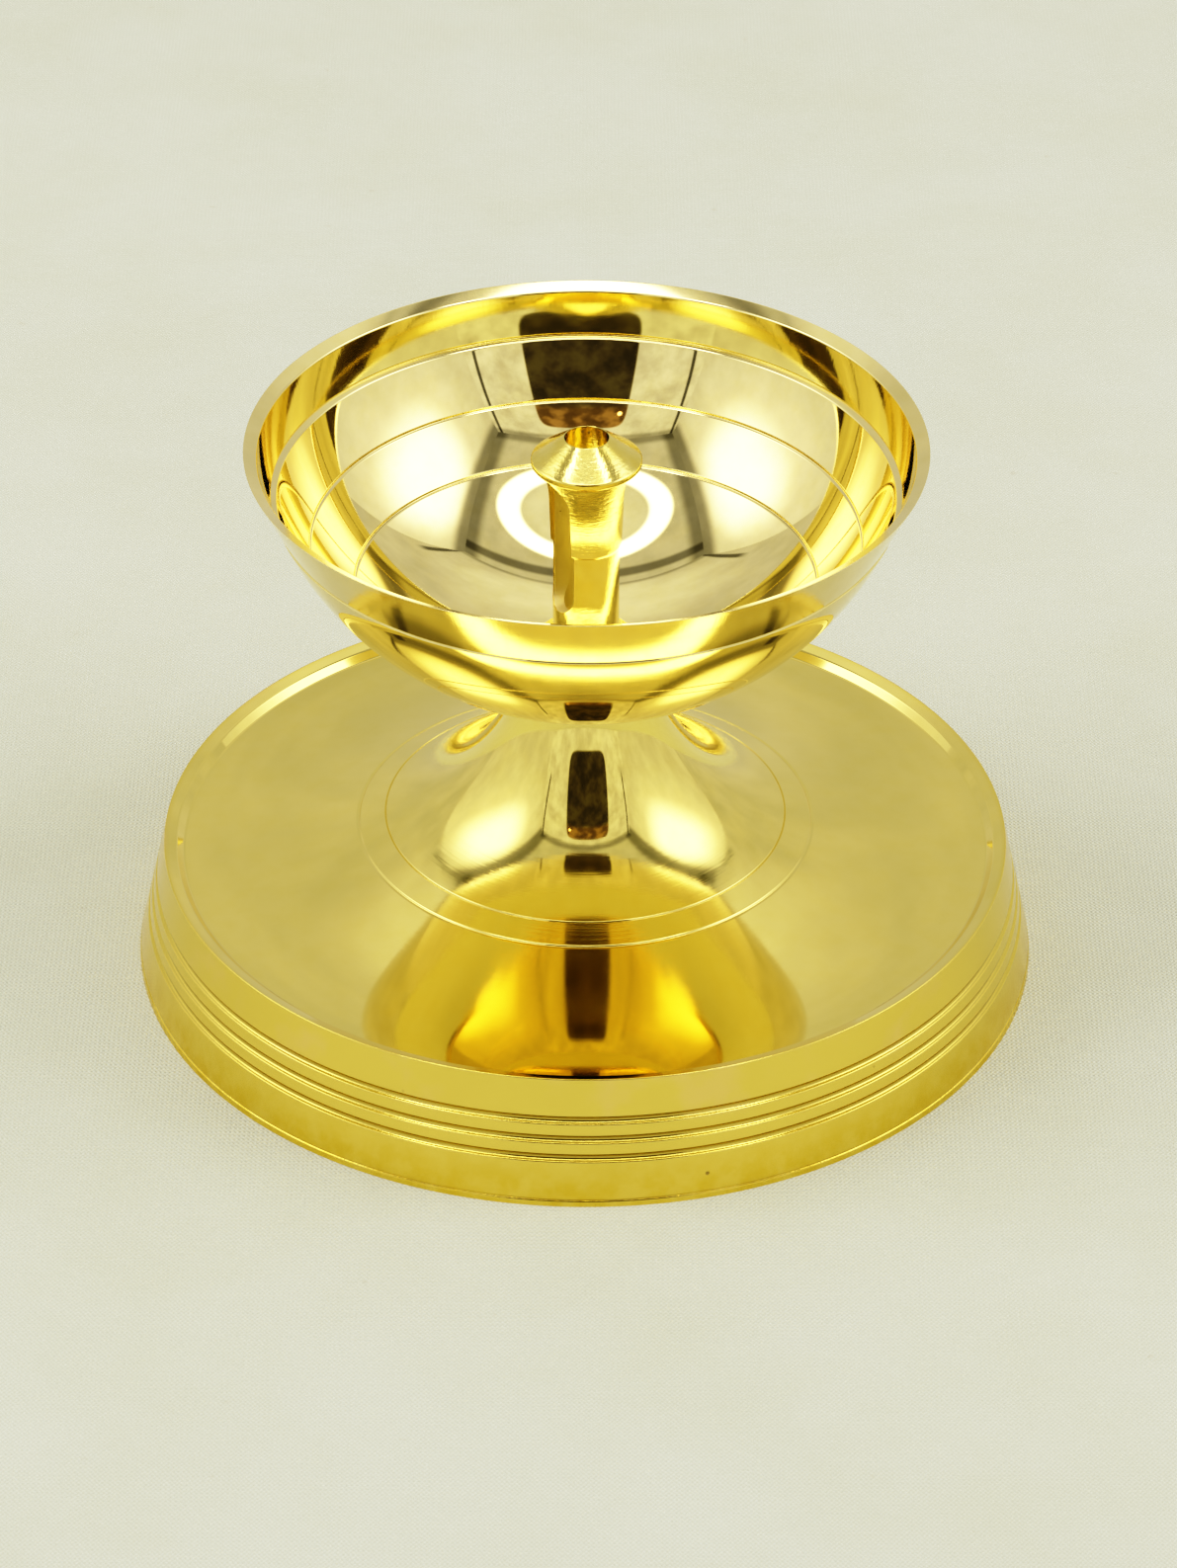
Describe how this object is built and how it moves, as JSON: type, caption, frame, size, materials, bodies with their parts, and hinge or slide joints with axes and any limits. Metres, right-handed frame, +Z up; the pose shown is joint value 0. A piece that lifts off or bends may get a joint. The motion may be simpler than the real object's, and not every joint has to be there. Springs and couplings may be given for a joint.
{
  "type": "diya oil lamp",
  "caption": "Round turned brass oil lamp: thin open bowl on a trumpet pedestal with a wide grooved base, and a removable tubular wick holder standing in the bowl.",
  "frame": {"origin": "centre of the foot circle, on the surface that the lamp stands on", "axes": "+Z up along the axis of revolution; the wick holder's oil window faces -X and 30 degrees towards -Y"},
  "size_m": [0.089, 0.089, 0.0573],
  "materials": {
    "satin_brass": "fine turned and polished",
    "polished_brass": "mirror polished",
    "turned_brass": "as turned, coarser tool marks",
    "washer_brass": "stamped, dull"
  },
  "bodies": {
    "pedestal": {"pedestal_base": "satin_brass", "neck_washer": "washer_brass"},
    "bowl": {"oil_bowl": "polished_brass"},
    "seal": {"holder_washer": "washer_brass"},
    "holder": {"wick_holder": "turned_brass"}
  },
  "joints": [
    {"name": "bowl_lift", "type": "slide", "parent": "pedestal", "child": "bowl", "axis": [0, 0, 1], "range_m": [0, 0.03]},
    {"name": "holder_lift", "type": "slide", "parent": "bowl", "child": "seal", "axis": [0, 0, 1], "range_m": [0, 0.008]},
    {"name": "holder_turn", "type": "hinge", "parent": "seal", "child": "holder", "pos_m": [0, 0, 0.034], "axis": [0, 0, 1], "range_deg": [0, 2880]}
  ],
  "couplings": [
    {"joint": "holder_turn", "follows": "holder_lift", "rad_per_m": 6283.2}
  ]
}
